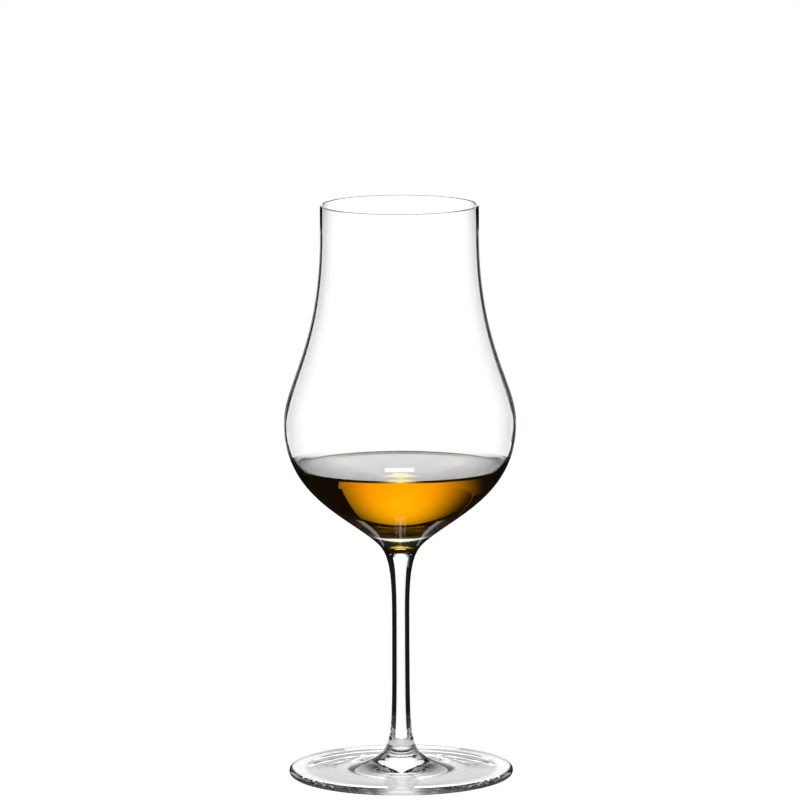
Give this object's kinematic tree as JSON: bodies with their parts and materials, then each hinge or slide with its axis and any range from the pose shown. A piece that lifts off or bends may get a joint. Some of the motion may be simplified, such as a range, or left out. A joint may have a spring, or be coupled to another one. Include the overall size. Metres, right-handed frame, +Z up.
{
  "type": "snifter glass",
  "caption": "Stemmed snifter glass: rounded tulip bowl closing to a straight chimney mouth, slim drawn stem, round spun foot, and a short pour of amber spirit.",
  "frame": {"origin": "middle of the plane that the foot stands on", "axes": "+Z up the axis of the glass, from the foot to the rim; +X and +Y lie in the standing plane, and the picture looks along +Y"},
  "size_m": [0.0664, 0.0664, 0.165],
  "materials": {
    "clear_glass": "clear, fire-polished",
    "amber_spirit": "clear amber liquid, level on top and climbing the wall a little"
  },
  "bodies": {
    "root": {"foot": "clear_glass", "stem": "clear_glass", "bowl": "clear_glass", "spirit": "amber_spirit"}
  },
  "joints": []
}
